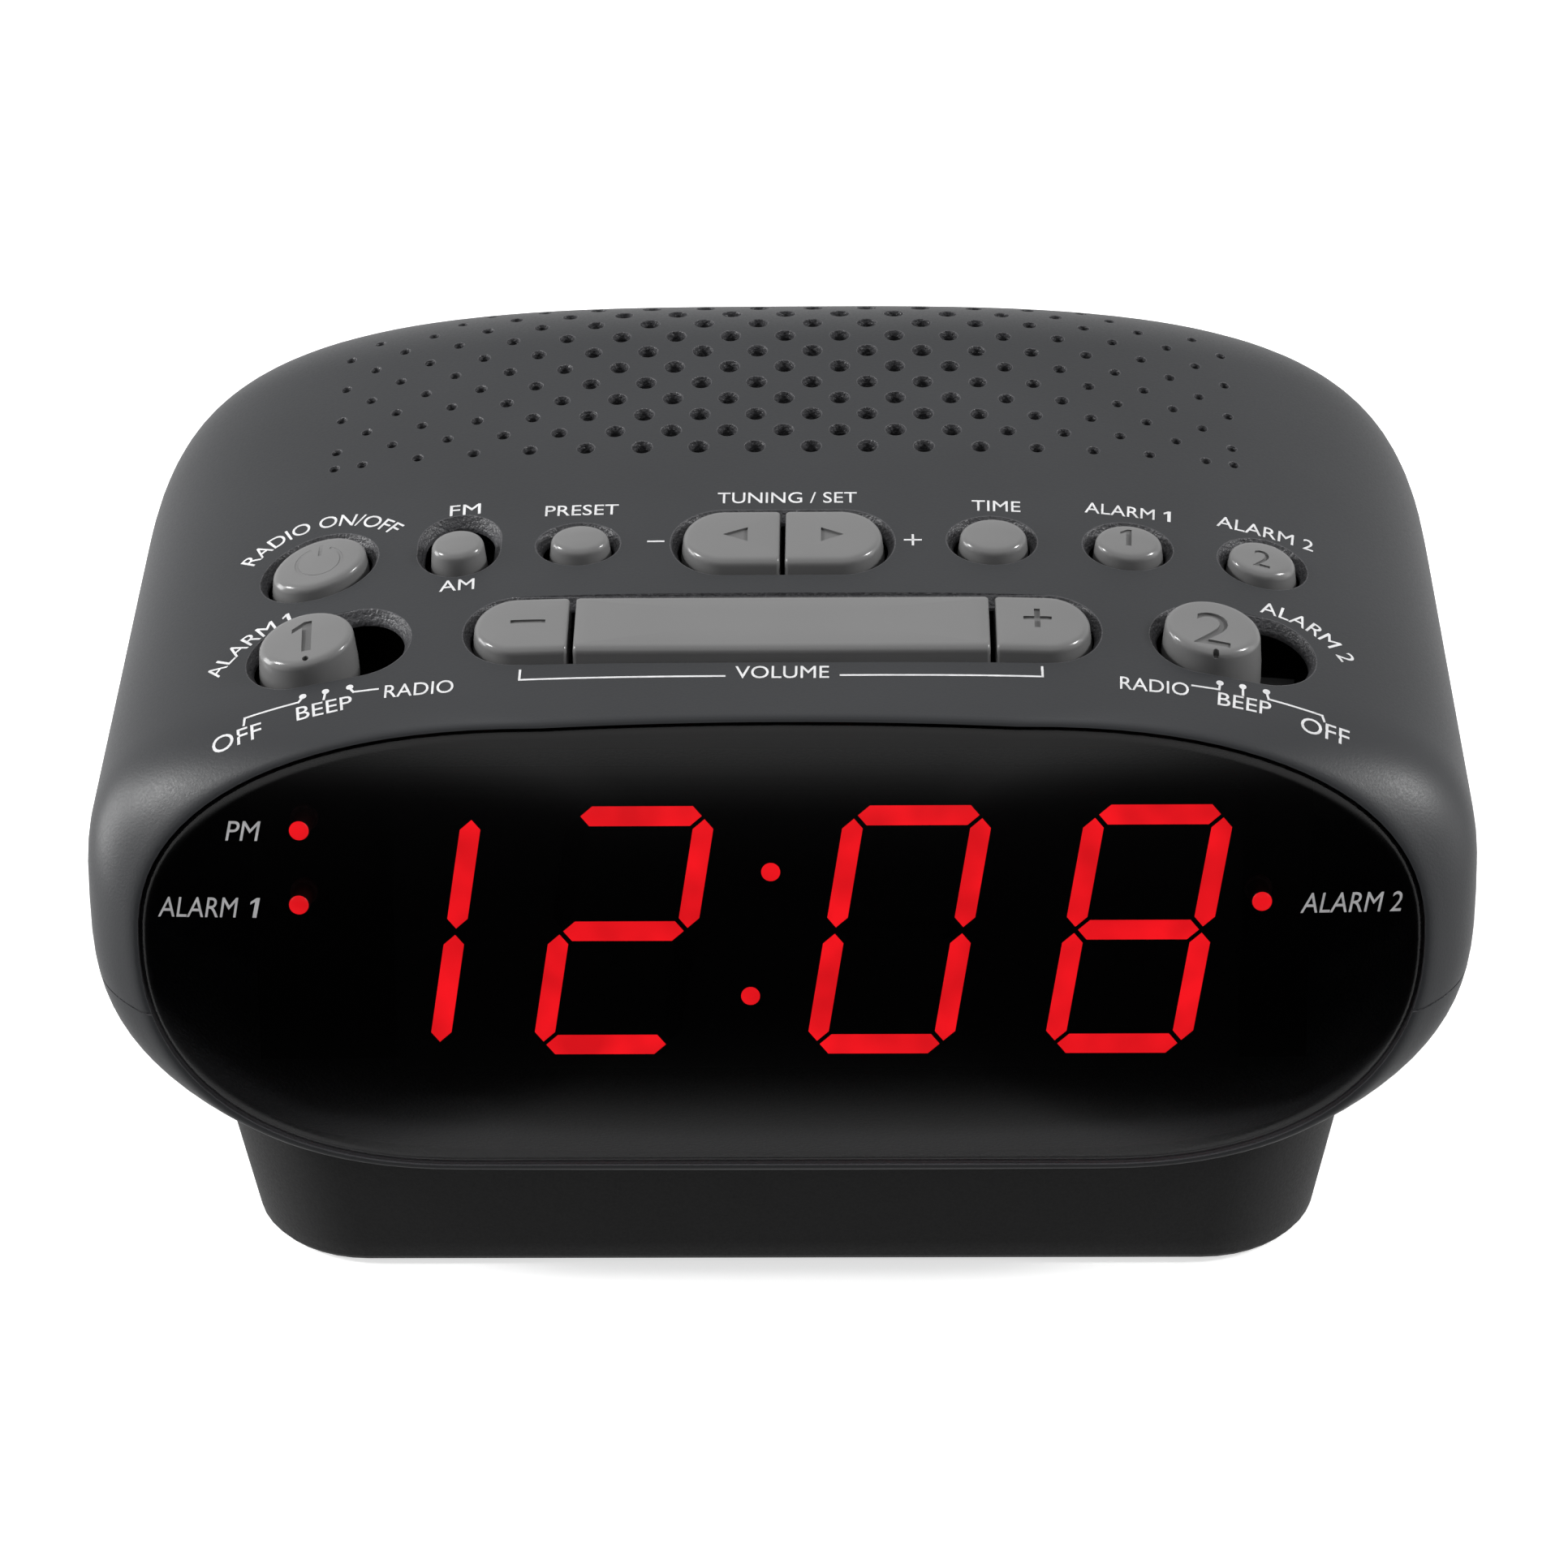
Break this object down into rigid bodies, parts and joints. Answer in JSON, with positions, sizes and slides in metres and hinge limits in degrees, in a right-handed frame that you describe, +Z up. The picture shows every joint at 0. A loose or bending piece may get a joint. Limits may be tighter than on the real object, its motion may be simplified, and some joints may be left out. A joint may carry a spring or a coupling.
{
  "type": "clock radio",
  "caption": "Table clock radio: oval two-part housing on a pedestal, smoked lens over a red digit display, top push buttons, slide knobs and a speaker hole grille.",
  "frame": {"origin": "on the table, under the centre of the radio", "axes": "+X to the right of the display, +Y to the rear, +Z up"},
  "size_m": [0.1916, 0.133, 0.0967],
  "materials": {
    "housing_plastic": "fine matte texture",
    "pedestal_plastic": "fine matte texture",
    "button_plastic": "satin",
    "smoked_lens": "polished, smoked",
    "module_black": "matte",
    "led_red": "diffused, lit red",
    "board_tan": "phenolic board",
    "board_green": "solder resist",
    "component_black": "moulded",
    "laminations": "varnished steel stack",
    "steel": "zinc plated",
    "speaker_paper": "pressed paper",
    "ferrite": "sintered",
    "copper_wire": "enamelled copper wire",
    "foot_rubber": "matte"
  },
  "bodies": {
    "housing": {"top_cabinet": "housing_plastic", "bottom_cabinet": "housing_plastic", "pedestal": "pedestal_plastic", "display_lens": "smoked_lens", "digit_module": "module_black", "display_board": "board_tan", "pm_led": "led_red", "alarm1_led": "led_red", "alarm2_led": "led_red", "control_board": "board_tan", "main_board": "board_green", "clock_chip": "component_black", "transformer": "laminations", "speaker_basket": "steel", "speaker_cone": "speaker_paper", "speaker_magnet": "ferrite", "ferrite_rod": "ferrite", "antenna_coil": "copper_wire", "cord_gland": "foot_rubber", "battery_connector": "component_black", "radio_switch": "component_black", "preset_switch": "component_black", "tuning_down_switch": "component_black", "tuning_up_switch": "component_black", "time_switch": "component_black", "alarm1_switch": "component_black", "alarm2_switch": "component_black", "volume_down_switch": "component_black", "snooze_switch": "component_black", "volume_up_switch": "component_black", "band_switch": "component_black", "alarm1_slide_switch": "component_black", "alarm2_slide_switch": "component_black", "foot_front_left": "foot_rubber", "foot_front_right": "foot_rubber", "foot_rear_left": "foot_rubber", "foot_rear_right": "foot_rubber", "screw_front_left": "steel", "screw_rear_left": "steel", "screw_front_right": "steel", "screw_rear_right": "steel"},
    "radio_button": {"radio_button": "button_plastic"},
    "preset_button": {"preset_button": "button_plastic"},
    "tuning_down_button": {"tuning_down_button": "button_plastic"},
    "tuning_up_button": {"tuning_up_button": "button_plastic"},
    "time_button": {"time_button": "button_plastic"},
    "alarm1_button": {"alarm1_button": "button_plastic"},
    "alarm2_button": {"alarm2_button": "button_plastic"},
    "volume_down_button": {"volume_down_button": "button_plastic"},
    "snooze_bar": {"snooze_bar": "button_plastic"},
    "volume_up_button": {"volume_up_button": "button_plastic"},
    "band_knob": {"band_knob": "button_plastic"},
    "alarm1_knob": {"alarm1_knob": "button_plastic"},
    "alarm2_knob": {"alarm2_knob": "button_plastic"},
    "battery_door": {"battery_door": "pedestal_plastic"}
  },
  "joints": [
    {"name": "radio_press", "type": "slide", "parent": "housing", "child": "radio_button", "axis": [0, 0.1299, -0.9915], "range_m": [0, 0.0008], "stiffness_N_per_m": 400, "springref_m": -0.001},
    {"name": "preset_press", "type": "slide", "parent": "housing", "child": "preset_button", "axis": [0, 0.1299, -0.9915], "range_m": [0, 0.0008], "stiffness_N_per_m": 400, "springref_m": -0.001},
    {"name": "tuning_down_press", "type": "slide", "parent": "housing", "child": "tuning_down_button", "axis": [0, 0.1299, -0.9915], "range_m": [0, 0.0008], "stiffness_N_per_m": 400, "springref_m": -0.001},
    {"name": "tuning_up_press", "type": "slide", "parent": "housing", "child": "tuning_up_button", "axis": [0, 0.1299, -0.9915], "range_m": [0, 0.0008], "stiffness_N_per_m": 400, "springref_m": -0.001},
    {"name": "time_press", "type": "slide", "parent": "housing", "child": "time_button", "axis": [0, 0.1299, -0.9915], "range_m": [0, 0.0008], "stiffness_N_per_m": 400, "springref_m": -0.001},
    {"name": "alarm1_press", "type": "slide", "parent": "housing", "child": "alarm1_button", "axis": [0, 0.1299, -0.9915], "range_m": [0, 0.0008], "stiffness_N_per_m": 400, "springref_m": -0.001},
    {"name": "alarm2_press", "type": "slide", "parent": "housing", "child": "alarm2_button", "axis": [0, 0.1299, -0.9915], "range_m": [0, 0.0008], "stiffness_N_per_m": 400, "springref_m": -0.001},
    {"name": "volume_down_press", "type": "slide", "parent": "housing", "child": "volume_down_button", "axis": [0, 0.1299, -0.9915], "range_m": [0, 0.0008], "stiffness_N_per_m": 400, "springref_m": -0.001},
    {"name": "snooze_press", "type": "slide", "parent": "housing", "child": "snooze_bar", "axis": [0, 0.1299, -0.9915], "range_m": [0, 0.0008], "stiffness_N_per_m": 400, "springref_m": -0.001},
    {"name": "volume_up_press", "type": "slide", "parent": "housing", "child": "volume_up_button", "axis": [0, 0.1299, -0.9915], "range_m": [0, 0.0008], "stiffness_N_per_m": 400, "springref_m": -0.001},
    {"name": "band_slide", "type": "slide", "parent": "housing", "child": "band_knob", "axis": [0, 0.9915, 0.1299], "range_m": [0, 0.004]},
    {"name": "alarm1_slide", "type": "slide", "parent": "housing", "child": "alarm1_knob", "axis": [0.9803, 0.099, 0.1707], "range_m": [0, 0.0062]},
    {"name": "alarm2_slide", "type": "slide", "parent": "housing", "child": "alarm2_knob", "axis": [0.9803, -0.099, -0.1707], "range_m": [0, 0.0062]},
    {"name": "battery_door_hinge", "type": "hinge", "parent": "housing", "child": "battery_door", "pos_m": [0, 0.0332, 0.0017], "axis": [1, 0, 0], "range_deg": [0, 95]}
  ]
}
